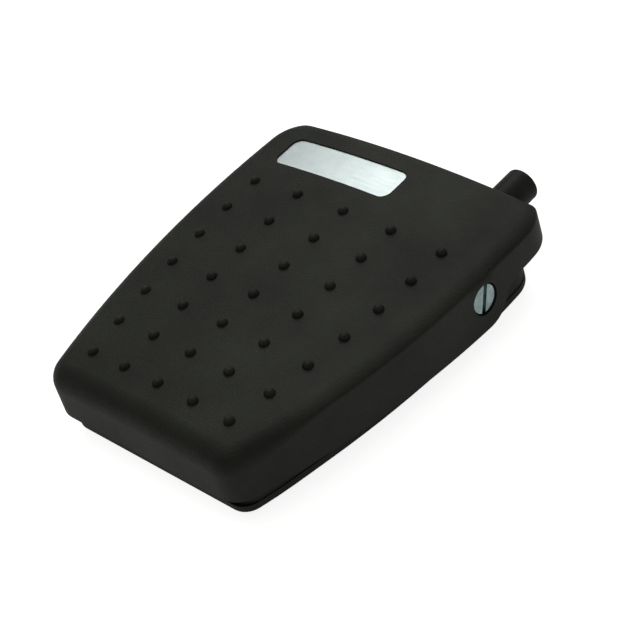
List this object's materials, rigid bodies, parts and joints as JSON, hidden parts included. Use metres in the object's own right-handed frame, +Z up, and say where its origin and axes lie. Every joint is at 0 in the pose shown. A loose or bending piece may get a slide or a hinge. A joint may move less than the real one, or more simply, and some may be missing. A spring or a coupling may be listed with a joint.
{
  "type": "industrial foot switch",
  "caption": "Low foot switch: a crowned, domed treadle hinged on side screws over an inset base, with a microswitch inside and a cable sleeve at the rear.",
  "frame": {"origin": "centre of the footprint on the floor, feet standing at z = 0", "axes": "+X across the treadle, +Y from the toe end to the cable end, +Z up"},
  "size_m": [0.0796, 0.104, 0.0215],
  "materials": {
    "treadle_plastic": "fine matt spark texture",
    "base_plastic": "fine matt",
    "bare_aluminium": "brushed, bare",
    "plated_steel": "zinc plated",
    "spring_steel": "bright drawn",
    "brass": "turned",
    "switch_case": "phenolic, satin",
    "plunger_plastic": "moulded",
    "terminal_plate": "silver plated",
    "sleeve_rubber": "satin PVC",
    "pad_rubber": "matt"
  },
  "bodies": {
    "root": {"base": "base_plastic", "pivot_insert_left": "brass", "pivot_insert_right": "brass", "pivot_screw_left": "plated_steel", "pivot_screw_right": "plated_steel", "return_spring": "spring_steel", "microswitch_case": "switch_case", "microswitch_cover": "switch_case", "common_terminal": "terminal_plate", "normally_open_terminal": "terminal_plate", "normally_closed_terminal": "terminal_plate", "switch_screws": "plated_steel", "cable_sleeve": "sleeve_rubber", "cable_clamp": "base_plastic", "clamp_screws": "plated_steel", "stop_pads": "pad_rubber", "rubber_feet": "pad_rubber"},
    "treadle": {"treadle": "treadle_plastic", "name_plate": "bare_aluminium"},
    "plunger": {"microswitch_plunger": "plunger_plastic"},
    "lever": {"microswitch_lever": "spring_steel"}
  },
  "joints": [
    {"name": "treadle_hinge", "type": "hinge", "parent": "root", "child": "treadle", "pos_m": [0, 0.01665, 0.0116], "axis": [1, 0, 0], "range_deg": [0, 2.2], "stiffness_Nm_per_rad": 2.6, "springref_deg": -8.59, "deforming": ["return_spring"]},
    {"name": "lever_hinge", "type": "hinge", "parent": "root", "child": "lever", "pos_m": [-0.0006, 0.00335, 0.0151], "axis": [1, 0, 0], "range_deg": [0, 3.93]},
    {"name": "plunger_slide", "type": "slide", "parent": "root", "child": "plunger", "axis": [0, 0, -1], "range_m": [0, 0.000398]}
  ],
  "couplings": [
    {"joint": "lever_hinge", "follows": "treadle_hinge", "ratio": 1.7644},
    {"joint": "plunger_slide", "follows": "treadle_hinge", "m_per_rad": 0.010114}
  ]
}
